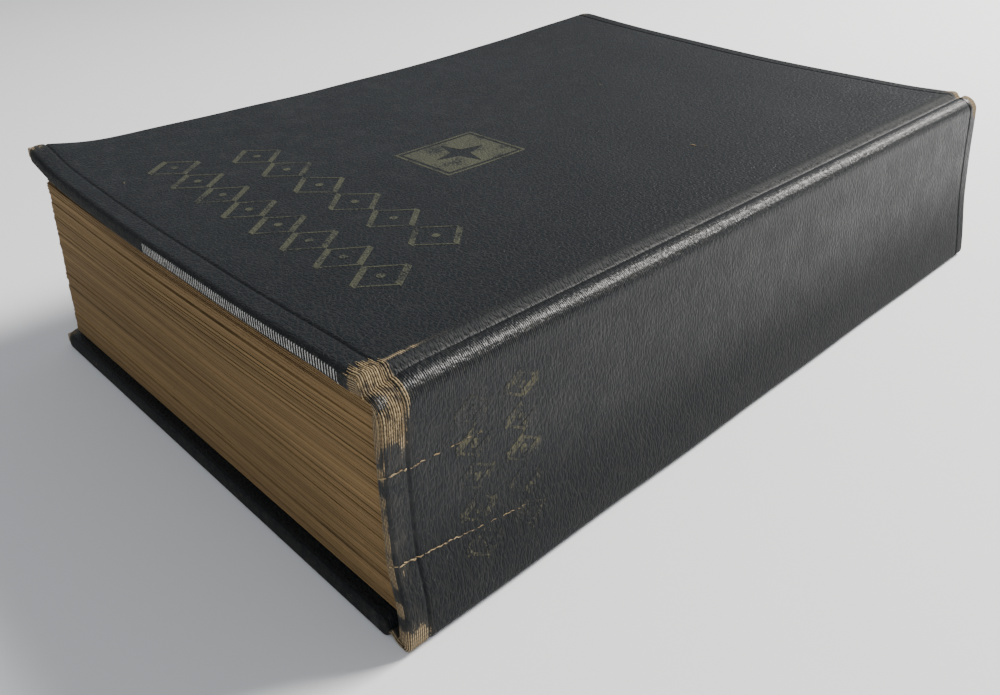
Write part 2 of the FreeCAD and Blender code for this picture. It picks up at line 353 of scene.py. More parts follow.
def border_cells(rows, columns, turn_in):
    """Which faces of a grid lie in its border, at the fore edge and at both ends."""
    cell_i, cell_j = np.divmod(np.arange((rows - 1) * (columns - 1)), columns - 1)
    ends = (cell_j < turn_in[1]) | (cell_j >= columns - 1 - turn_in[1])
    return ends | (cell_i >= rows - 1 - turn_in[0])


def sheet_faces(rows, columns, rim, ring_count, open_start, flip, turn_in):
    """Faces of a thick sheet: outer side, what is left of the inner one, and the rim."""
    count, loop = rows * columns, len(rim[0])
    outer = np.arange(count).reshape(rows, columns)
    inner = outer + count
    rings = 2 * count + np.arange(ring_count * loop).reshape(ring_count, loop)
    rim_index = np.vstack([outer[rim][None], rings, inner[rim][None]])
    if not open_start:
        rim_index = np.hstack([rim_index, rim_index[:, :1]])
    inner_faces = quads(inner, not flip)
    if turn_in is not None:
        inner_faces = inner_faces[border_cells(rows, columns, turn_in)]
    return np.vstack([quads(outer, flip), inner_faces, quads(rim_index, flip)])


def thick_sheet(points, normals, wall, rounding, open_start=False, flip=False,
                round_fore=False, turn_in=None):
    """Close a grid of outer points into a solid sheet with a rounded rim.

    With turn_in, only a border of that many rows and columns is left of the inner face.

    The result has the vertices and faces, and for each vertex its grid place (i, j), how far
    round the rim it lies (0 on the outer face, 1 on the inner one) and its way past the edge.
    """
    rows, columns = points.shape[:2]
    inner = points - normals * wall[..., None]
    rim_i, rim_j, out = sheet_border(rows, columns, open_start)
    if round_fore:
        out = turn_round_corners(points[rim_i, rim_j], out)
    outward = np.concatenate([out, 0 * out[:, :1]], 1)
    top, normal, under = points[rim_i, rim_j], normals[rim_i, rim_j], inner[rim_i, rim_j]
    rim_wall = wall[rim_i, rim_j]
    if np.ndim(rounding):
        rounding = rounding[rim_i, rim_j]
    radius = np.minimum(rounding, rim_wall / 2)
    rings, depth, past = rim_rings(top, under, normal, outward, radius, rim_wall)
    faces = sheet_faces(rows, columns, (rim_i, rim_j), len(rings), open_start, flip, turn_in)
    count = rows * columns
    flat_i, flat_j = np.divmod(np.arange(count), columns)
    return {"points": np.vstack([points.reshape(-1, 3), inner.reshape(-1, 3)] + rings),
            "faces": faces,
            "i": np.concatenate([flat_i, flat_i] + [rim_i] * len(rings)),
            "j": np.concatenate([flat_j, flat_j] + [rim_j] * len(rings)),
            "rim": np.concatenate([np.zeros(count), np.ones(count)] + depth),
            "past": np.concatenate([np.zeros(2 * count)] + past),
            "out": np.vstack([np.zeros((2 * count, 2))] + [out] * len(rings))}


# Materials ----------------------------------------------------------------------------

class Shader:
    """A material with a Principled surface, and short ways to add nodes to it."""

    def __init__(self, name):
        self.material = bpy.data.materials.new(name)
        self.material.use_nodes = True
        self.tree = self.material.node_tree
        self.tree.nodes.clear()
        self.surface = self.tree.nodes.new("ShaderNodeBsdfPrincipled")
        output = self.tree.nodes.new("ShaderNodeOutputMaterial")
        self.tree.links.new(self.surface.outputs["BSDF"], output.inputs["Surface"])

    def node(self, kind, inputs=None, **settings):
        made = self.tree.nodes.new(kind)
        for key, value in settings.items():
            setattr(made, key, value)
        for key, value in (inputs or {}).items():
            self.put(made.inputs[key], value)
        return made

    def put(self, socket, value):
        if isinstance(value, bpy.types.NodeSocket):
            self.tree.links.new(value, socket)
        elif value is not None:
            socket.default_value = value

    def set(self, **inputs):
        for key, value in inputs.items():
            self.put(self.surface.inputs[key.replace("_", " ")], value)

    def attribute(self, name, output="Vector"):
        return self.node("ShaderNodeAttribute", attribute_name=name).outputs[output]

    def math(self, operation, a, b=None):
        return self.node("ShaderNodeMath", {0: a, 1: b}, operation=operation).outputs[0]

    def times(self, a, b):
        return self.math("MULTIPLY", a, b)

    def plus(self, a, b):
        return self.math("ADD", a, b)

    def minus(self, a, b):
        return self.math("SUBTRACT", a, b)

    def stretched(self, vector, sizes):
        """Coordinates in which a texture of size 1 has these sizes in millimetres."""
        scale = tuple(1 / size for size in sizes)
        return self.node("ShaderNodeVectorMath", {0: vector, 1: scale},
                         operation="MULTIPLY").outputs[0]

    def object_place(self):
        """Where a point lies in its object, in millimetres."""
        return self.stretched(self.node("ShaderNodeTexCoord").outputs["Object"], (MM, MM, MM))

    def noise(self, vector, sizes, detail=2.0, roughness=0.5):
        inputs = {"Vector": self.stretched(vector, sizes), "Scale": 1.0, "Detail": detail,
                  "Roughness": roughness}
        return self.node("ShaderNodeTexNoise", inputs).outputs["Fac"]

    def cells(self, vector, sizes, feature="F1"):
        inputs = {"Vector": self.stretched(vector, sizes), "Scale": 1.0}
        return self.node("ShaderNodeTexVoronoi", inputs, feature=feature).outputs["Distance"]

    def ramp(self, value, low, high, start=0.0, end=1.0):
        inputs = {"Value": value, "From Min": low, "From Max": high, "To Min": start,
                  "To Max": end}
        return self.node("ShaderNodeMapRange", inputs,
                         interpolation_type="SMOOTHSTEP").outputs["Result"]

    def blend(self, factor, a, b):
        made = self.node("ShaderNodeMix", data_type="RGBA")
        self.put(made.inputs["Factor"], factor)
        for socket, value in ((made.inputs[6], a), (made.inputs[7], b)):
            self.put(socket, value if isinstance(value, bpy.types.NodeSocket) else (*value, 1))
        return made.outputs[2]

    def mix(self, factor, a, b):
        made = self.node("ShaderNodeMix", data_type="FLOAT")
        for key, value in ((0, factor), (2, a), (3, b)):
            self.put(made.inputs[key], value)
        return made.outputs[0]

    def bumps(self, *layers):
        """Raise the surface by the sum of (height between 0 and 1, millimetres) layers."""
        normal = None
        for height, depth in layers:
            inputs = {"Height": height, "Distance": depth * MM, "Strength": 1.0,
                      "Normal": normal}
            normal = self.node("ShaderNodeBump", inputs).outputs["Normal"]
        self.put(self.surface.inputs["Normal"], normal)

    def finish(self, colour, roughness, specular, *layers, **more):
        self.set(Base_Color=colour, Roughness=roughness, Specular_IOR_Level=specular, **more)
        self.bumps(*layers)
        return self.material

    def split(self, vector):
        made = self.node("ShaderNodeSeparateXYZ", {0: vector})
        return made.outputs[0], made.outputs[1], made.outputs[2]

    def waves(self, value, pitch, shift=None):
        """Smooth waves between 0 and 1, one to every pitch."""
        turned = self.times(value, 2 * math.pi / pitch)
        if shift is not None:
            turned = self.plus(turned, shift)
        return self.plus(self.times(self.math("COSINE", turned), 0.5), 0.5)


CLOTH_SPECULAR = 0.22


def dimmed(colour, share):
    return tuple(share * value for value in colour)


def weave(shader, cloth):
    """Bare cloth: fine threads round the spine, crossed by others, with painted shade in the
    gaps between them. Gives height, colour.
    """
    _, y, run = shader.split(cloth)
    wander = shader.times(shader.noise(cloth, (9, 1.4, 9)), 2.4)
    across = shader.waves(y, THREAD_PITCH, wander)
    lift = shader.times(shader.noise(cloth, (0.9, 0.3, 9), 1), 5)
    along = shader.waves(run, 2 * THREAD_PITCH, lift)
    height = shader.times(across, shader.plus(0.6, shader.times(along, 0.4)))
    # painted shade: darker where the threads sink between each other
    light = shader.ramp(height, 0.15, 0.75)
    tone = shader.noise(cloth, (2.5, 1.2, 9), 3)
    pale = shader.blend(tone, (0.22, 0.155, 0.08), (0.4, 0.31, 0.18))
    return height, shader.blend(light, (0.045, 0.034, 0.023), pale)


def grain(shader, cloth):
    """Leather grain pressed into the coating: fine pebbles with creases between them."""
    place = shader.stretched(cloth, (1.6, 1.2, 9))
    inputs = {"Vector": place, "Scale": 1.0, "Detail": 1.0}
    wobble = shader.node("ShaderNodeTexNoise", inputs).outputs["Color"]
    bent = shader.node("ShaderNodeVectorMath", {0: wobble, 1: (0.55, 0.45, 0.0), 2: cloth},
                       operation="MULTIPLY_ADD").outputs[0]
    pebbles = shader.minus(1, shader.cells(bent, (0.82, 0.5, 9)))
    creases = shader.ramp(shader.cells(bent, (1.35, 0.8, 9), "DISTANCE_TO_EDGE"), 0, 0.2)
    fine = shader.noise(cloth, (0.4, 0.24, 9), 2)
    height = shader.plus(shader.times(pebbles, 0.68), shader.times(creases, 0.32))
    return height, fine


def coating(shader, cloth, height, fine, cloudy):
    """Colour of the black coating: cloudy, dusty in its creases, with painted grey glints on its
    fine peaks.
    """
    patch = shader.noise(cloth, (34, 26, 30), 3)
    black = shader.blend(patch, (0.003, 0.0042, 0.0056), (0.0052, 0.0068, 0.0083))
    black = shader.blend(shader.ramp(cloudy, 0.45, 0.8, 0, 0.5), black, (0.011, 0.0118, 0.012))
    dust = shader.times(shader.ramp(height, 0.62, 0.3), 0.35)
    black = shader.blend(dust, black, (0.018, 0.018, 0.016))
    # painted highlight: grey glints on the highest fine grain peaks
    return shader.blend(shader.ramp(fine, 0.63, 0.8, 0, 0.5), black, (0.075, 0.077, 0.072))


def rim_glints(shader, cloth):
    """Painted highlight: pale glinting dots in a narrow line along the front cover's rim at the
    head.
    """
    run = shader.split(cloth)[2]
    glint_tips = shader.plus(shader.waves(run, 2 * THREAD_PITCH),
                       shader.noise(cloth, (1.4, 0.7, 9)))
    edge = shader.attribute("edge", "Fac")
    band = shader.times(shader.ramp(edge, 0.4, 0.46), shader.ramp(edge, 0.6, 0.54))
    return shader.times(shader.ramp(glint_tips, 1.1, 1.35), band)


def cloth_look(shader):
    """Colour, roughness and relief layers of the black coated cloth, with its wear, painted
    glints and painted shade between bare threads.
    """
    cloth = shader.attribute("cloth")
    shine = shader.attribute("shine", "Fac")
    height, fine = grain(shader, cloth)
    threads, tan = weave(shader, cloth)
    cloudy = shader.noise(cloth, (7, 5, 9), 4, 0.62)
    ragged = shader.noise(cloth, (1.5, 0.9, 9), 5, 0.68)
    wear = shader.plus(shader.attribute("wear", "Fac"), shader.times(ragged, 0.9))
    wear = shader.plus(wear, shader.times(threads, 0.1))
    bare = shader.ramp(wear, 0.98, 1.12)
    rubbed = shader.ramp(wear, 0.66, 1.0, 0, 0.55)
    black = coating(shader, cloth, height, fine, cloudy)
    colour = shader.blend(rubbed, black, (0.032, 0.03, 0.024))
    colour = shader.blend(bare, colour, tan)
    glint_tips = rim_glints(shader, cloth)
    # painted highlight: pale dots along the head rim of the front cover
    colour = shader.blend(glint_tips, colour, (0.5, 0.5, 0.47))
    rough = shader.ramp(cloudy, 0.3, 0.7, 0.48, 0.38)
    rough = shader.mix(shader.times(shine, 0.75), rough, 0.3)
    rough = shader.mix(shader.attribute("matt", "Fac"), rough, 0.85)
    rough = shader.mix(bare, rough, 0.92)
    rib_share = shader.plus(shader.times(bare, 0.8), shader.plus(0.1, shader.times(shine, 0.3)))
    ribs = shader.times(threads, rib_share)
    flat = shader.times(shader.math("MAXIMUM", bare, shader.times(shine, 0.6)), 0.85)
    grain_height = shader.times(height, shader.minus(1, flat))
    layers = ((grain_height, 0.16), (fine, 0.06), (ribs, 0.12), (glint_tips, 0.05))
    return colour, rough, layers, cloth


def cloth_material():
    shader = Shader("black grained cloth")
    colour, rough, layers, _ = cloth_look(shader)
    return shader.finish(colour, rough, CLOTH_SPECULAR, *layers)


def gilt_material(name, gold, worn_low, worn_high):
    """Stamped foil, worn through to the black cloth between its last grains."""
    shader = Shader(name)
    colour, rough, layers, cloth = cloth_look(shader)
    speck = shader.noise(cloth, (0.55, 0.4, 9), 3, 0.7)
    patch = shader.noise(cloth, (9, 7, 9), 3)
    left = shader.plus(speck, shader.times(patch, 0.8))
    kept = shader.ramp(left, worn_low, worn_high)
    tone = shader.blend(patch, gold, dimmed(gold, 0.72))
    return shader.finish(shader.blend(kept, colour, tone), shader.mix(kept, rough, 0.5),
                         CLOTH_SPECULAR, *layers, Metallic=shader.times(kept, 0.55))


def paper_material(name, inner, edge, gap_shade_share):
    """Old paper: browned towards its edges, with the leaves showing as fine lines there; the
    dark lines are painted shade in the gaps between leaves.
    """
    shader = Shader(name)
    page = shader.attribute("page")
    tone = shader.attribute("tone", "Fac")
    d, y, _ = shader.split(page)
    from_end = shader.minus(LEAF_HALF, shader.math("ABSOLUTE", y))
    from_edge = shader.math("MINIMUM", from_end, shader.minus(LEAF_END, d))
    deep = shader.ramp(from_edge, 0.3, 9)
    stain = shader.noise(page, (26, 26, 8), 4)
    fibres = shader.noise(page, (0.5, 0.22, 0.3), 3)
    body = shader.blend(stain, inner, dimmed(inner, 0.8))
    lines = shader.noise(page, (60, 80, 0.085), 4, 0.72)
    bands = shader.noise(page, (150, 150, 1.5), 3)
    spots = shader.noise(page, (3.2, 3.2, 1.2), 4)
    side = shader.blend(shader.ramp(bands, 0.35, 0.65), edge, dimmed(edge, 0.7))
    # painted shade: dark lines in the gaps between the leaves at the edges
    gap_shade = shader.ramp(lines, 0.52, 0.36, 0, gap_shade_share)
    side = shader.blend(gap_shade, side, dimmed(edge, 0.28))
    side = shader.blend(shader.ramp(lines, 0.55, 0.7, 0, 0.3), side, dimmed(edge, 1.5))
    side = shader.blend(shader.ramp(spots, 0.6, 0.72, 0, 0.4), side, dimmed(edge, 0.5))
    colour = shader.blend(deep, side, body)
    colour = shader.blend(shader.times(tone, 0.16), colour, dimmed(edge, 0.45))
    return shader.finish(colour, 0.88, 0.25, (fibres, 0.03), (lines, 0.05))


def bare_thread_material():
    """Tan cotton of the cloth, with twisted strands."""
    shader = Shader("bare cloth thread")
    rest = shader.attribute("rest")
    tone = shader.attribute("tone", "Fac")
    fibre = shader.noise(rest, (0.4, 0.22, 0.4), 3)
    pale = shader.blend(tone, (0.2, 0.14, 0.07), (0.4, 0.31, 0.175))
    dirt = shader.ramp(shader.noise(rest, (1.9, 1.2, 1.9), 3), 0.47, 0.66, 0, 0.85)
    colour = shader.blend(shader.ramp(fibre, 0.6, 0.35, 0, 0.6), pale, (0.11, 0.08, 0.05))
    colour = shader.blend(dirt, colour, (0.035, 0.033, 0.03))
    return shader.finish(colour, 0.9, 0.2, (fibre, 0.05))


def plain_material(name, colour, other, sizes, roughness, relief):
    """Fibrous stuff such as board, kraft paper or tape, mottled between two colours."""
    shader = Shader(name)
    place = shader.object_place()
    mottle = shader.noise(place, sizes, 5, 0.6)
    fibre = shader.noise(place, tuple(size * 0.2 for size in sizes), 3)
    colour = shader.blend(shader.ramp(mottle, 0.3, 0.7), colour, other)
    return shader.finish(colour, roughness, 0.3, (fibre, relief), (mottle, relief))


def woven_material(name, colour, gap_shade, pitch):
    """Open or close weave of two sets of threads along y and z, with painted shade in the gaps
    between them.
    """
    shader = Shader(name)
    place = shader.object_place()
    _, y, z = shader.split(place)
    threads = shader.math("MAXIMUM", shader.waves(y, pitch), shader.waves(z, pitch))
    tone = shader.noise(place, (3, 3, 3), 3)
    light = shader.blend(tone, colour, dimmed(colour, 0.75))
    # painted shade: darker in the gaps between the threads
    colour = shader.blend(shader.ramp(threads, 0.3, 0.8), gap_shade, light)
    return shader.finish(colour, 0.9, 0.2, (threads, 0.12))


MATERIALS = {
    "cloth": cloth_material(),
    "gilt": gilt_material("dull gilt", (0.09, 0.092, 0.062), 0.7, 0.98),
    "spine_gilt": gilt_material("worn gilt of the spine", (0.1, 0.094, 0.054), 0.9, 1.1),
    "paper": paper_material("browned paper", (0.44, 0.33, 0.17), (0.265, 0.17, 0.074), 0.85),
    "endpaper": paper_material("aged endpaper", (0.5, 0.4, 0.24), (0.33, 0.22, 0.105), 0.4),
    "board": plain_material("binder's board", (0.24, 0.19, 0.13), (0.36, 0.3, 0.22),
                            (3, 3, 0.6), 0.9, 0.08),
    "kraft": plain_material("kraft lining", (0.3, 0.19, 0.1), (0.38, 0.26, 0.14),
                            (2, 6, 2), 0.85, 0.03),
    "mull": woven_material("mull", (0.55, 0.5, 0.4), (0.2, 0.17, 0.12), 1.1),
    "tape": woven_material("sewing tape", (0.6, 0.56, 0.46), (0.3, 0.27, 0.2), 0.7),
    "bare_thread": bare_thread_material(),
    "thread": woven_material("linen thread", (0.6, 0.55, 0.43), (0.32, 0.27, 0.19), 0.35),
}


# Case: the cloth and the boards ---------------------------------------------------------

def arc_length(points, share=1.0):
    """Distance along each column of a grid, from its first row, times a share of its own."""
    step = np.linalg.norm(np.diff(points, axis=0), axis=2)
    if np.ndim(share):
        step = step * (share[1:] + share[:-1]) / 2
    return np.vstack([np.zeros(points.shape[1]), np.cumsum(step, axis=0)])


def to_back(points):
    """Swap front for back: same place in plan, height turned over."""
    return points * np.array([1, 1, -1]) + np.array([0, 0, TOP])


def cloth_places(sheet, run, grid_y):
    """Where each vertex lies on the flat cloth: across the joint, and along it."""
    s = run[sheet["i"], sheet["j"]] + sheet["out"][:, 0] * sheet["past"]
    return s, grid_y[sheet["i"], sheet["j"]] + sheet["out"][:, 1] * sheet["past"]


def remnants(d, y, z):
    """Two scraps of black coating left on the bared head of the joint."""
    total = 0
    for place, size in (((3.2, HALF - 1.0, TOP - 3.2), 1.3), ((1.2, HALF - 1.4, TOP - 11), 1.6)):
        away = (d - place[0]) ** 2 + (y - place[1]) ** 2 + (z - place[2]) ** 2
        total = total + np.exp(-away / size ** 2)
    return np.clip(1.9 * total, 0, 1)


def front_wear(d, y, z, rim):
    """How far the black coating is gone: 0 whole, 1 bare tan cloth."""
    head, tail = HALF - y, HALF + y
    on_rim = np.sin(math.pi * np.clip(rim, 0, 1))
    spine_side = smooth(9, 2, d)
    high = smooth(TOP - 17, TOP - 9, z)
    low = smooth(9, 2, z)
    spread = head / 6.6 + np.maximum(d - 6, 0) / 3.5
    cap = smooth(1.1, 0.35, spread) * np.maximum(high, 0.8 * low * spine_side)
    cap = cap * (1 - remnants(d, y, z))
    broken = 0.7 + 0.35 * ripple(z, 0 * z, 4.5, SEED + 8) + 0.1 * np.sin(z * 9)
    rim_edges = broken * np.maximum(0.8 * bump(0.08, 0.1, rim), 1.3 * bump(0.62, 0.2, rim))
    cap_edge = spine_side * rim_edges * (head < 3)
    ridge = 0.75 * bump(BOARD_START + 1.3, 0.7, d) * smooth(26, 6, head) * (z > TOP / 2)
    board_head = 0.3 * on_rim * (head < 3) * smooth(80, 10, d)
    tail_cap = smooth(6, 0.5, tail) * smooth(14, 4, d) * smooth(TOP - 9, TOP - 3, z)
    corner = 0.85 * np.exp(-((WIDTH - d) / 4.6) ** 2 - (np.minimum(head, tail) / 4.6) ** 2)
    shoulder = 0.3 * bump(2.0, 1.6, d) * smooth(TOP - 6, TOP - 2, z)
    spot = 0.42 * np.exp(-((head - 75) / 3.0) ** 2) * bump(3.2, 1.4, d) * (z > TOP - 6)
    parts = [cap, 0.95 * cap_edge, ridge, board_head, tail_cap, corner, 0.3 * on_rim,
             shoulder, spot]
    return np.clip(np.maximum.reduce(parts), 0, 1)


def matt_places(places, rim):
    """Where the coating has no gloss: the covers' rims, the groove's slope, the spine's foot."""
    d, _, z = places.T
    rims = np.sin(math.pi * np.clip(rim, 0, 1)) * smooth(6, 12, d)
    slope = 0.9 * bump(GROOVE + 1.6, 1.4, d)
    foot = 0.75 * smooth(30, 6, z) * smooth(3, 1.5, d)
    return np.maximum.reduce([rims, slope, foot])


def back_wear(d, y, z, rim):
    """The same for the back cover, which has bare corners and a worn head at the spine."""
    head, tail = HALF - y, HALF + y
    on_rim = np.sin(math.pi * np.clip(rim, 0, 1))
    spine_head = smooth(9, 2, d) * smooth(2.6, 0.2, head)
    corners = np.exp(-((WIDTH - d) / 4) ** 2 - (np.minimum(head, tail) / 4) ** 2)
    return np.clip(np.maximum.reduce([0.9 * spine_head, corners, 0.35 * on_rim]), 0, 1)


def back_top(d, y):
    """Outer face of the back cover and its joint, with up as out."""
    return TOP - BACK_GROOVE_DEPTH * groove_share(d) + 0 * y


def cloth_shell(name, points, normals, wall, front):
    """The cloth of one half of the case: outer face, rounded edges and turned-in border."""
    run = arc_length(points)
    grain_run = arc_length(points, 1 - 0.32 * smooth(8, 3, points[..., 0]))
    border_rows = int(np.sum(points[:, 0, 0] > WIDTH - TURN_IN))
    border_columns = int(np.sum(points[0, :, 1] < TURN_IN - HALF))
    rounding = EDGE_ROUND + (SPINE_ROUND - EDGE_ROUND) * smooth(6, 3, points[..., 0])
    sheet = thick_sheet(points, normals, wall, rounding, open_start=True, round_fore=True,
                        flip=not front, turn_in=(border_rows, border_columns))
    s, along = cloth_places(sheet, run, points[..., 1])
    places = sheet["points"] if front else to_back(sheet["points"])
    wear_of = front_wear if front else back_wear
    wear = wear_of(places[:, 0], places[:, 1], places[:, 2], sheet["rim"])
    grain = grain_run[sheet["i"], sheet["j"]] + sheet["out"][:, 0] * sheet["past"]
    shine = bump(2.2, 2.4, places[:, 0]) * smooth(TOP - 9, TOP - 3, places[:, 2])
    on_line = (places[:, 0] > RIM_GLINT_LINE[0]) & (places[:, 0] < RIM_GLINT_LINE[1])
    # edge marks the band of the front cover's head rim that gets the painted highlight dots
    edge = sheet["rim"] * (front & on_line & (HALF - places[:, 1] < 1.5))
    attributes = {"cloth": np.stack([grain, along, s], 1), "wear": wear, "shine": shine,
                  "edge": edge, "matt": matt_places(places, sheet["rim"])}
    return thicken(add_mesh(name, places, sheet["faces"], attributes))


def thicken(piece):
    """Turn the cloth's open surface into a closed shell that grows inwards."""
    solidify = piece.modifiers.new("thickness", "SOLIDIFY")
    solidify.thickness = CLOTH * MM
    solidify.offset = -1
    graph = bpy.context.evaluated_depsgraph_get()
    graph.update()
    mesh = bpy.data.meshes.new_from_object(piece.evaluated_get(graph))
    piece.modifiers.clear()
    piece.data = mesh
    return piece


def bend_piece(piece, body, slot, material, height, across, *nodes):
    """Piece that gets its material and its transform baked in, and hides the CAD nodes it stands
    for.
    """
    piece.data.materials.append(MATERIALS[material])
    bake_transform(piece)
    if nodes:
        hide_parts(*nodes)


def front_cloth():
    y = skin_columns()
    points, normals, wall, centre = spine_rows(y)
    more, more_normals, more_wall = cover_rows(y, centre, board_top)
    piece = cloth_shell("front_and_spine_cloth", np.concatenate([points, more]),
                        np.concatenate([normals, more_normals]),
                        np.concatenate([wall, more_wall]), True)
    bend_piece(piece, "front_cover", "grained_cloth", "cloth", TOP, HINGE_BEND,
               "front_cover_cloth", "front_joint_cloth", "spine_cloth")


def back_cloth():
    y = skin_columns()
    first = LOWER_SHOULDER + spine_dip(y, LOWER_SHOULDER)
    points, normals, wall = cover_rows(y, first, back_top)
    piece = cloth_shell("back_cloth", points, normals, wall, False)
    bend_piece(piece, "back_cover", "grained_cloth", "cloth", 0, HINGE_BEND,
               "back_cover_cloth", "back_joint_cloth")


def facing_sheet(points, way, wall, rounding, flip=False):
    """Solid sheet behind a grid of outer points that all face the same way."""
    normals = np.zeros(points.shape) + way
    return thick_sheet(points, normals, wall + 0 * points[..., 0], rounding, flip=flip)


def level_sheet(d, y, top_of, wall, rounding, flip=False):
    """Sheet over a grid of places, with its outer face given by top_of(d, y)."""
    grid_d, grid_y = np.meshgrid(d, y, indexing="ij")
    points = np.stack([grid_d, grid_y, top_of(grid_d, grid_y)], 2)
    return facing_sheet(points, UPWARDS, wall, rounding, flip)


def plan_box(node):
    """A node's extent in the plane of the covers, as (d, y) corners."""
    low, high = node_box(node)
    return (low[0] - SPINE_X, low[1]), (high[0] - SPINE_X, high[1])


def finish_piece(piece, body, slot, material, *nodes):
    piece.data.materials.append(MATERIALS[material])
    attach(piece, body)
    if nodes:
        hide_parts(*nodes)


def cover_parts(side, top_of, front):
    """The binder's board and the pastedown inside one cover."""
    parts = (("_board", "_binders_board", "binders_board", "board", CLOTH + 0.05,
              COVER - 2 * CLOTH - 0.1, 0.5, 0.35),
             ("_pastedown", "_pasted_endpaper", "endpaper", "endpaper", COVER, 0.2, 0.08, 0))
    for node, name, slot, material, depth, wall, rounding, inset in parts:
        low, high = plan_box(side + node)
        d = steps(low[0] + inset, high[0] - inset, SHEET_PITCH)
        y = steps(low[1] + inset, high[1] - inset, SHEET_PITCH)

        def part_top(d, y):
            return top_of(np.maximum(d, BOARD_START + 1.5), y) - depth

        sheet = level_sheet(d, y, part_top, wall, rounding, not front)
        places = sheet["points"] if front else to_back(sheet["points"])
        piece = add_mesh(side + name, places, sheet["faces"])
        finish_piece(piece, side + "_cover", slot, material, side + node)


# Text block ---------------------------------------------------------------------------

BLOCK_LOW = node_box("section_01")[0][2]
LEAVES_LOW = node_box("front_gutter")[0][2]
FLYLEAF = node_box("front_flyleaf")[0][2] + 0.07
SECTION_COUNT = sum(name.startswith("section_") for name in frame["nodes"])
GUTTER_END = 5.4
LEAF_BEND = (GUTTER_END + 0.3, 17.0)
SHEETS = 3                  # folded sheets in a section
LEAF_WALL = 0.17            # thickness of a loose leaf and of the two flyleaves
FRONT_FLYLEAF_WALL = 0.15
REAR_FLYLEAF_WALL = 0.14
# Levels at which the block stands open, and by how much.
OPENINGS = ((8.6, 0.10), (14.2, 0.16), (19.5, 0.12), (24.3, 0.2), (28.4, 0.16), (31.6, 0.3),
            (34.1, 0.2), (36.2, 0.42), (37.9, 0.2), (39.0, 0.34), (39.9, 0.2))


def fan(level):
    """Share of the front cover's lift that the paper at this level follows."""
    deep = np.clip((level - BLOCK_LOW) / (LEAVES_LOW - BLOCK_LOW), 0, 1)
    near = np.clip((level - LEAVES_LOW) / (FLYLEAF - LEAVES_LOW), 0, 1)
    return 0.66 * deep ** 1.5 + 0.28 * near


def paper_height(level, d, y, face=0.0):
    """Where the paper that would lie flat at this level really lies.

    face is the way from the middle of a sheet to its upper or lower side. A sheet stands for
    a few leaves, so it swells where they fan out, but never across an opening.
    """
    real = level + face
    height = real + cover_lift(d, y) * fan(real)
    inside = smooth(BLOCK_LOW, BLOCK_LOW + 8, real)
    height = height + 0.2 * inside * ripple(d / 2.2, real * 3.0, 38, SEED + 3)
    away = smooth(6, 30, d) * (1 - smooth(70, 90, np.abs(y)) * smooth(80, 122, d))
    for place, gap in OPENINGS:
        above = level >= place
        ease = np.clip((real - place + 2.6) / 5.2, 0, 1)
        height = height + away * gap * (above - ease)
    return height


def fold_place(level, y):
    """Spine side of the paper, which follows the sunken spine panel."""
    return FOLD + 0.15 + spine_dip(y, level)


def folded_side(low, high, face, fore, y):
    """One side of a folded sheet: in over its upper leaf, round the fold, out over the other.

    Gives rows of points, and the level at which the paper of each row would lie flat.
    """
    middle, reach = (low + high) / 2, (high - low) / 2 + face
    fold = fold_place(middle, y) + (high - low) / 2
    shares = np.linspace(0, 1, 15) ** 1.15
    rows, levels = [], []

    def leaf(shares, level, face):
        for share in shares:
            d = fold + (LEAF_END + fore - fold) * share
            rows.append(np.stack([d, y, paper_height(level, d, y, face)], 1))
            levels.append(level + face)

    leaf(shares[::-1], high, face)
    for angle in np.linspace(0, math.pi, 7)[1:-1]:
        z = paper_height(middle, fold, y) + reach * math.cos(angle)
        rows.append(np.stack([fold - reach * math.sin(angle), y, z], 1))
        levels.append(middle + reach * math.cos(angle))
    leaf(shares, low, -face)
    return np.array(rows), levels


def folded_sheet(low, high, thickness, ends, columns):
    """Two leaves of one section joined by their fold, as a closed strip.

    low and high are the levels of the lower and the upper leaf, and ends holds how far each
    edge of the sheet stands out of true: at the fore edge, the tail and the head.
    """
    fore, tail, head = ends
    y = columns + np.linspace(-tail, head, len(columns))
    outer, outer_levels = folded_side(low, high, thickness / 2, fore, y)
    inner, inner_levels = folded_side(low, high, -thickness / 2, fore, y)
    strip = np.concatenate([outer, inner[::-1]])
    page = strip.copy()
    page[..., 2] = np.array(outer_levels + inner_levels[::-1])[:, None]
    return strip, page


def tube_faces(rows, columns, start=0):
    """Faces of a closed strip: a loop of rows, with its two ends filled by quads."""
    index = start + np.arange(rows * columns).reshape(rows, columns)
    loop = np.vstack([index, index[:1]])
    faces = [quads(loop, True)]
    half = rows // 2
    for column, flip in ((0, False), (columns - 1, True)):
        left, right = index[:half, column], index[half:, column][::-1]
        faces.append(quads(np.stack([left, right], 1), flip))
    return np.vstack(faces)


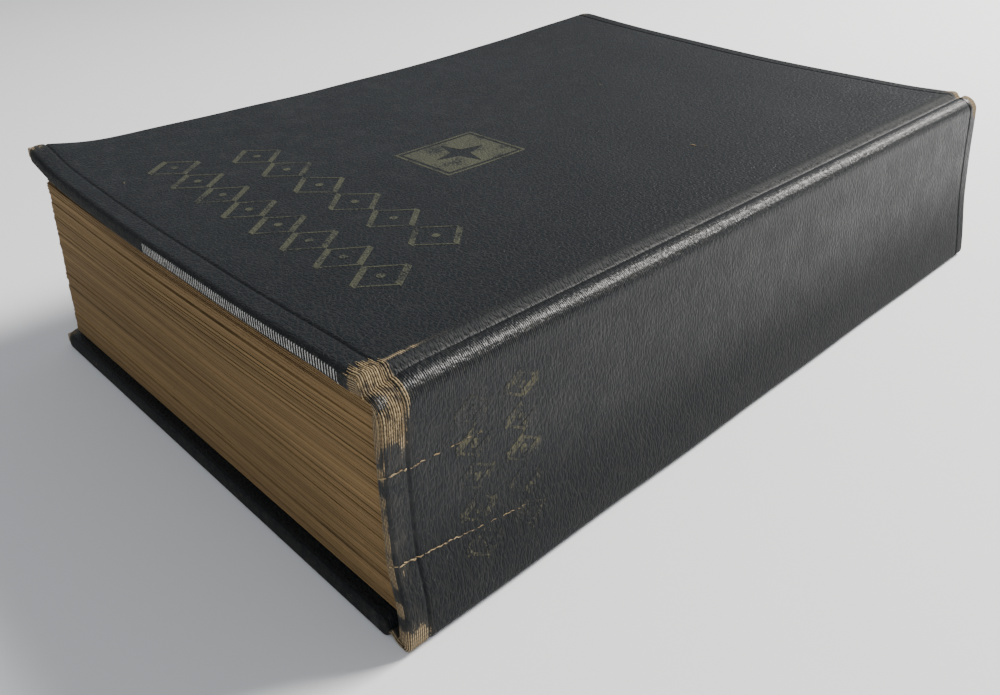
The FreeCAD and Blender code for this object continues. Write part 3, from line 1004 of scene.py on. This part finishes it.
def section(number, rng):
    """One sewn section: sheets folded inside each other."""
    name = "section_%02d" % number
    pitch = (LEAVES_LOW - BLOCK_LOW) / SECTION_COUNT
    base = BLOCK_LOW + (number - 1) * pitch
    leaf = pitch / (2 * SHEETS)
    half = np.array([15, 45, 62, 76, 86, 92, LEAF_HALF - 0.6, LEAF_HALF])
    columns = np.concatenate([-half[::-1], half])
    shift = rng.normal(0, 0.07, 3)
    places, pages, faces, tones, start = [], [], [], [], 0
    for sheet in range(SHEETS):
        thickness = leaf * rng.uniform(0.86, 0.95)
        ends = shift + rng.normal(0, 0.05, 3)
        middle_low = base + leaf * (sheet + 0.5)
        middle_high = base + pitch - leaf * (sheet + 0.5)
        strip, page = folded_sheet(middle_low, middle_high, thickness, ends, columns)
        places.append(strip.reshape(-1, 3))
        pages.append(page.reshape(-1, 3))
        faces.append(tube_faces(len(strip), len(columns), start))
        tones.append(np.full(strip.shape[0] * len(columns), rng.uniform(0, 1)))
        start += strip.shape[0] * len(columns)
    piece = add_mesh(name + "_folded_sheets", np.vstack(places), np.vstack(faces),
                     {"page": np.vstack(pages), "tone": np.concatenate(tones)},
                     smooth_shade=False)
    finish_piece(piece, "text_block", "text_paper", "paper", name)


def loose_leaf(name, level, thickness, rng, material="paper"):
    """A single leaf: held in its gutter, free at its other three edges."""
    low, high = plan_box(name)
    curl = rng.normal(0, 0.06, 2)

    def leaf_top(d, y):
        wave = curl[0] * ripple(d, y, 55, SEED + int(level * 7)) * smooth(10, 40, d)
        return paper_height(level, d, y) + wave + thickness / 2

    low = (GUTTER_END + 0.1, low[1] + 0.3 + abs(curl[1]))
    high = (high[0] - 0.1 - abs(curl[1]), high[1] - 0.15)
    d = np.concatenate([steps(low[0], LEAF_BEND[1], 0.8), steps(LEAF_BEND[1], high[0], 5)[1:]])
    y = steps(low[1], high[1], 6)
    sheet = level_sheet(d, y, leaf_top, thickness, 0.05)
    page = sheet["points"].copy()
    page[:, 2] = level
    attributes = {"page": page, "tone": np.full(len(page), rng.uniform(0, 1))}
    piece = add_mesh(name + "_paper", sheet["points"], sheet["faces"], attributes)
    slot = "text_paper" if material == "paper" else "endpaper"
    bend_piece(piece, name, slot, material, level, LEAF_BEND, name)


def gutter(name, low_level, high_level):
    """The glued strip beside the folds, where the loose leaves are held."""
    (_, low_y), (_, high_y) = plan_box(name)
    y = steps(low_y + 0.3, high_y - 0.3, 8)
    share, grid_y = np.meshgrid(steps(0, 1, 0.25), y, indexing="ij")
    first = fold_place(high_level, grid_y)
    grid_d = first + (GUTTER_END - first) * share
    z = paper_height(high_level, grid_d, grid_y) - 0.05
    wall = z - paper_height(low_level, grid_d, grid_y) - 0.05
    points = np.stack([grid_d, grid_y, z], 2)
    sheet = facing_sheet(points, UPWARDS, np.maximum(wall, 0.06), 0.06)
    piece = add_mesh(name + "_paper", sheet["points"], sheet["faces"],
                     {"page": sheet["points"], "tone": np.full(len(sheet["points"]), 0.4)})
    finish_piece(piece, "text_block", "text_paper", "paper", name)


def text_block():
    rng = np.random.default_rng(SEED + 20)
    for number in range(1, SECTION_COUNT + 1):
        section(number, rng)
    gutter("front_gutter", LEAVES_LOW, FLYLEAF)
    rear_low, rear_high = node_box("rear_gutter")
    gutter("rear_gutter", rear_low[2], rear_high[2])
    leaf_names = sorted(name for name in frame["nodes"] if name.startswith("leaf_"))
    for name in leaf_names:
        loose_leaf(name, node_box(name)[0][2] + 0.1, LEAF_WALL, rng)
    loose_leaf("front_flyleaf", FLYLEAF, FRONT_FLYLEAF_WALL, rng, "endpaper")
    low, high = node_box("rear_flyleaf")
    loose_leaf("rear_flyleaf", (low[2] + high[2]) / 2, REAR_FLYLEAF_WALL, rng, "endpaper")


# Spine linings ------------------------------------------------------------------------

LINING_SLOTS = {"kraft": "kraft_lining", "mull": "mull", "board": "binders_board"}


def spine_strip(node, material, offset, thickness):
    """Sheet or strip against the folds, curved like the sunken spine panel."""
    low, high = node_box(node)
    y = steps(low[1] + 0.2, high[1] - 0.2, 6)
    z = steps(low[2] + 0.3, high[2] - 0.3, 1.5)
    grid_z, grid_y = np.meshgrid(z, y, indexing="ij")
    grid_d = offset + spine_dip(grid_y, grid_z)
    points = np.stack([grid_d, grid_y, grid_z], 2)
    sheet = facing_sheet(points, OUT_OF_SPINE, thickness, 0)
    piece = add_mesh(node + "_shaped", sheet["points"], sheet["faces"])
    finish_piece(piece, "text_block", LINING_SLOTS[material], material, node)


def keep_cad_nodes():
    """CAD pieces that show as they are get a material of their own."""
    for node, material in (("sewing_tapes", "tape"), ("sewing_threads", "thread")):
        piece = frame["nodes"][node]
        piece.data.materials.clear()
        piece.data.materials.append(MATERIALS[material])


# Stamping -----------------------------------------------------------------------------

FILM = 0.03                 # height of the foil over the cloth, and its depth in it
FILM_EDGE = 1.6             # longest edge of the foil's mesh


def fine_mesh(mesh):
    """Places, normals and faces of a mesh whose long edges have been divided."""
    graph = bmesh.new()
    graph.from_mesh(mesh)
    bmesh.ops.remove_doubles(graph, verts=graph.verts, dist=1e-6)
    for _ in range(5):
        long_edges = [edge for edge in graph.edges if edge.calc_length() > FILM_EDGE * MM]
        if not long_edges:
            break
        bmesh.ops.subdivide_edges(graph, edges=long_edges, cuts=1)
        bmesh.ops.triangulate(graph, faces=[f for f in graph.faces if len(f.verts) > 3])
    graph.normal_update()
    points = np.array([vertex.co for vertex in graph.verts]) / MM
    facing = np.array([vertex.normal for vertex in graph.verts])
    faces = [[vertex.index for vertex in face.verts] for face in graph.faces]
    graph.free()
    return points, facing, faces


def stamping(node, body, material, on_spine):
    """The CAD's ornament laid on the real, warped surface as a thin raised film."""
    points, facing, faces = fine_mesh(frame["nodes"][node].data)
    d, y, z = points[:, 0] - SPINE_X, points[:, 1], points[:, 2]
    if on_spine:
        d = spine_dip(y, z) - np.where(facing[:, 0] < 0, FILM, -FILM)
        run = z
    else:
        z = board_top(d, y) + np.where(facing[:, 2] > 0, FILM, -FILM)
        run = d
    share = 0.68 if on_spine else 1.0
    places = np.stack([d, y, z], 1)
    attributes = {"cloth": np.stack([run * share, y, run], 1), "wear": 0 * y, "shine": 0 * y,
                  "matt": matt_places(places, 0)}
    piece = add_mesh(node + "_film", places, faces, attributes, smooth_shade=False)
    finish_piece(piece, body, "dull_gilt", material, node)


# Wear as real shapes ------------------------------------------------------------------

def tube(path, radii, sides=6):
    """Closed tube along a path; gives its vertices and faces."""
    path = np.asarray(path, float)
    ahead = np.gradient(path, axis=0)
    ahead /= np.linalg.norm(ahead, axis=1, keepdims=True)
    side = np.cross(ahead, (0.31, 0.17, 0.93))
    side /= np.linalg.norm(side, axis=1, keepdims=True)
    other = np.cross(ahead, side)
    turn = np.linspace(0, 2 * math.pi, sides, endpoint=False)
    ring = np.cos(turn)[None, :, None] * side[:, None] + \
        np.sin(turn)[None, :, None] * other[:, None]
    points = (path[:, None] + ring * np.asarray(radii)[:, None, None]).reshape(-1, 3)
    index = np.arange(len(path) * sides).reshape(len(path), sides)
    index = np.hstack([index, index[:, :1]])
    faces = [tuple(face) for face in quads(index, True)]
    faces.append(tuple(range(sides)))
    last = (len(path) - 1) * sides
    faces.append(tuple(last + k for k in reversed(range(sides))))
    return points, faces


def join_tubes(name, tubes, colours):
    points, faces, tones, start = [], [], [], 0
    for (new_points, new_faces), tone in zip(tubes, colours):
        points.append(new_points)
        faces += [tuple(start + corner for corner in face) for face in new_faces]
        tones.append(np.full(len(new_points), tone))
        start += len(new_points)
    points = np.vstack(points)
    return add_mesh(name, points, faces, {"tone": np.concatenate(tones), "rest": points})


def profile_path(y, run_from, run_to, pitch, lift):
    """Points along the spine's and the cover's outer face at one y, lifted off it."""
    row = np.array([y - 0.01, y, y + 0.01])
    points, normals, _, centre = spine_rows(row)
    more, more_normals, _ = cover_rows(row, centre, board_top)
    line = np.concatenate([points, more])[:, 1]
    out = np.concatenate([normals, more_normals])[:, 1]
    length = np.concatenate([[0], np.cumsum(np.linalg.norm(np.diff(line, axis=0), axis=1))])
    places = steps(run_from, run_to, pitch)
    path = np.stack([np.interp(places, length, line[:, k]) for k in range(3)], 1)
    away = np.stack([np.interp(places, length, out[:, k]) for k in range(3)], 1)
    return path + away * lift


def frayed_threads():
    """Threads bared where the coating has gone at the head of the joint and the spine."""
    rng = np.random.default_rng(SEED + 40)
    base = HALF - EDGE_ROUND
    shoulder_run = TOP + 2.0
    for_cover, count = [], 15
    for k in range(count):
        y = base + 0.9 - k * THREAD_PITCH
        low = shoulder_run - 14 + 10 * (k / count) ** 1.3 + rng.uniform(-2.5, 2.5)
        high = shoulder_run + 5.6 - 1.6 * k / count + rng.uniform(-1.2, 0.9)
        sag = 0.5 * (max(y - base, 0) / 0.9) ** 2
        path = profile_path(min(y, base), low, high, THREAD_PITCH / 2, 0.03 - sag)
        path[:, 1] += max(y - base, 0)
        wobble = rng.normal(0, 0.03, (len(path), 3))
        for _ in range(3):
            wobble[1:-1] = (wobble[:-2] + wobble[1:-1] + wobble[2:]) / 3
        ends = np.minimum(np.arange(len(path)), np.arange(len(path))[::-1])
        crossing = 0.8 + 0.2 * np.sin(0.5 * math.pi * np.arange(len(path)) + math.pi * k)
        radii = THREAD_RADIUS * crossing * np.clip(0.35 + 0.1 * ends, 0, 1)
        radii *= 1 - 0.9 * remnants(*path.T)
        for_cover.append(tube(path + wobble, radii))
    piece = join_tubes("frayed_joint_threads", for_cover, rng.uniform(0, 1, count))
    bend_piece(piece, "front_cover", "grained_cloth", "bare_thread", TOP, HINGE_BEND)


def crack(name, z_of, length, seed):
    """Line along the spine where the coating has split and tan fibres stand out."""
    rng = np.random.default_rng(seed)
    tubes, tones, at = [], [], -0.4
    while at < length:
        size = rng.uniform(0.5, 1.5)
        fade = 1 - 0.75 * max(at, 0) / length
        if rng.uniform() < 0.35 + 0.65 * fade:
            from_head = np.linspace(at, at + size, 5)
            y = HALF - EDGE_ROUND * 0.35 - from_head
            z = z_of(from_head) + rng.normal(0, 0.1) + 0.08 * np.sin(from_head * 5)
            edge = np.clip((0.9 - from_head) / 1.3, 0, 1)
            d = spine_dip(y, z) + tooled_line(y) + 0.9 * edge ** 2 - 0.01
            radii = rng.uniform(0.1, 0.2) * fade * np.array([0.35, 0.9, 1, 0.8, 0.3])
            tubes.append(tube(np.stack([d, y, z], 1), radii, 5))
            tones.append(rng.uniform(0, 1))
        at += size * rng.uniform(0.75, 1.2)
    piece = join_tubes(name, tubes, tones)
    finish_piece(piece, "text_block", "grained_cloth", "bare_thread")


def specks():
    """Small pale chips on the front cover."""
    rng = np.random.default_rng(SEED + 60)
    spots = [(109.0, HALF - 10.0, 0.55), (33.0, HALF - 115.0, 0.9), (30.2, HALF - 116.2, 0.5),
             (36.0, HALF - 113.2, 0.35), (84.0, HALF - 140.0, 0.3), (58.0, HALF - 30.0, 0.22)]
    tubes = []
    for d, y, size in spots:
        along = np.linspace(-1, 1, 5) * size
        way = rng.uniform(-0.5, 0.5)
        place_d, place_y = d + along * math.cos(way), y + along * math.sin(way)
        z = board_top(place_d, place_y) - 0.02
        radii = size * 0.22 * np.array([0.3, 0.9, 1, 0.8, 0.3])
        tubes.append(tube(np.stack([place_d, place_y, z], 1), radii))
    piece = join_tubes("cover_chips", tubes, rng.uniform(0, 1, len(tubes)))
    finish_piece(piece, "front_cover", "grained_cloth", "bare_thread")


# Floor, light and camera --------------------------------------------------------------

FLOOR_HALF = 4.0            # metres
LIT_HEIGHT = 0.03           # the lamps look at this height over the floor, in metres
CAMERA_TURN = (-42.154, 19.045, -2.754)     # yaw, pitch and roll in degrees
CAMERA_PLACE = (-165.4, 160.97, 116.55)
LENS = 34.42
LENS_SHIFT = -0.18


def floor():
    mesh = bpy.data.meshes.new("floor")
    half = FLOOR_HALF
    corners = [(-half, -half, 0), (half, -half, 0), (half, half, 0), (-half, half, 0)]
    mesh.from_pydata(corners, [], [(0, 1, 2, 3)])
    ground = add_object("floor", mesh)
    shader = Shader("pale floor")
    mesh.materials.append(shader.finish((0.78, 0.78, 0.79, 1), 0.85, 0.2))


def lamp(name, towards, distance, size, power, colour):
    """Square soft light that looks at the middle of the book."""
    data = bpy.data.lights.new(name, "AREA")
    data.size = size
    data.energy = power
    data.color = colour
    light = add_object(name, data)
    way = Vector(towards).normalized()
    light.location = way * distance + Vector((0, 0, LIT_HEIGHT))
    light.rotation_euler = way.to_track_quat("Z", "Y").to_euler()


def sky(colour, strength):
    world = bpy.data.worlds.new("pale surroundings")
    world.use_nodes = True
    background = world.node_tree.nodes["Background"]
    background.inputs["Color"].default_value = (*colour, 1)
    background.inputs["Strength"].default_value = strength
    bpy.context.scene.world = world


def camera():
    """Hand-held view from above the head end of the spine."""
    yaw, pitch, roll = (math.radians(angle) for angle in CAMERA_TURN)
    forward = Vector((math.cos(pitch) * math.cos(yaw), math.cos(pitch) * math.sin(yaw),
                      -math.sin(pitch)))
    right = forward.cross(Vector((0, 0, 1))).normalized()
    up = right.cross(forward)
    turned_right = right * math.cos(roll) + up * math.sin(roll)
    turned_up = up * math.cos(roll) - right * math.sin(roll)
    data = bpy.data.cameras.new("camera")
    data.lens = LENS
    data.sensor_width = 36
    data.shift_y = LENS_SHIFT
    data.clip_start = 0.01
    eye = add_object("camera", data)
    axes = Matrix((turned_right, turned_up, -forward)).transposed()
    eye.matrix_world = Matrix.Translation(Vector(CAMERA_PLACE) * MM) @ axes.to_4x4()
    bpy.context.scene.camera = eye


# The whole book -----------------------------------------------------------------------

front_cloth()
back_cloth()
cover_parts("front", board_top, True)
cover_parts("back", back_top, False)
text_block()
spine_strip("spine_stiffener", "board", 0.5, 0.8)
spine_strip("spine_lining_paper", "kraft", 2.05, 0.22)
spine_strip("spine_mull", "mull", 2.33, 0.18)
keep_cad_nodes()
frayed_threads()
crack("upper_spine_crack", lambda run: 31.2 - 0.05 * run, 17.5, SEED + 50)
crack("lower_spine_crack", lambda run: 15.8 - 0.12 * run, 27.0, SEED + 51)
specks()
stamping("front_title_stamping", "front_cover", "gilt", False)
stamping("front_emblem_stamping", "front_cover", "gilt", False)
stamping("spine_title_stamping", "text_block", "spine_gilt", True)
floor()
lamp("key", (-0.4, -1.0, 0.9), 1.1, 0.4, 34, (1.0, 0.97, 0.93))
lamp("fill", (-1.0, 0.7, 1.0), 1.4, 0.7, 5, (0.92, 0.96, 1.0))
sky((0.9, 0.94, 1.0), 0.42)
camera()
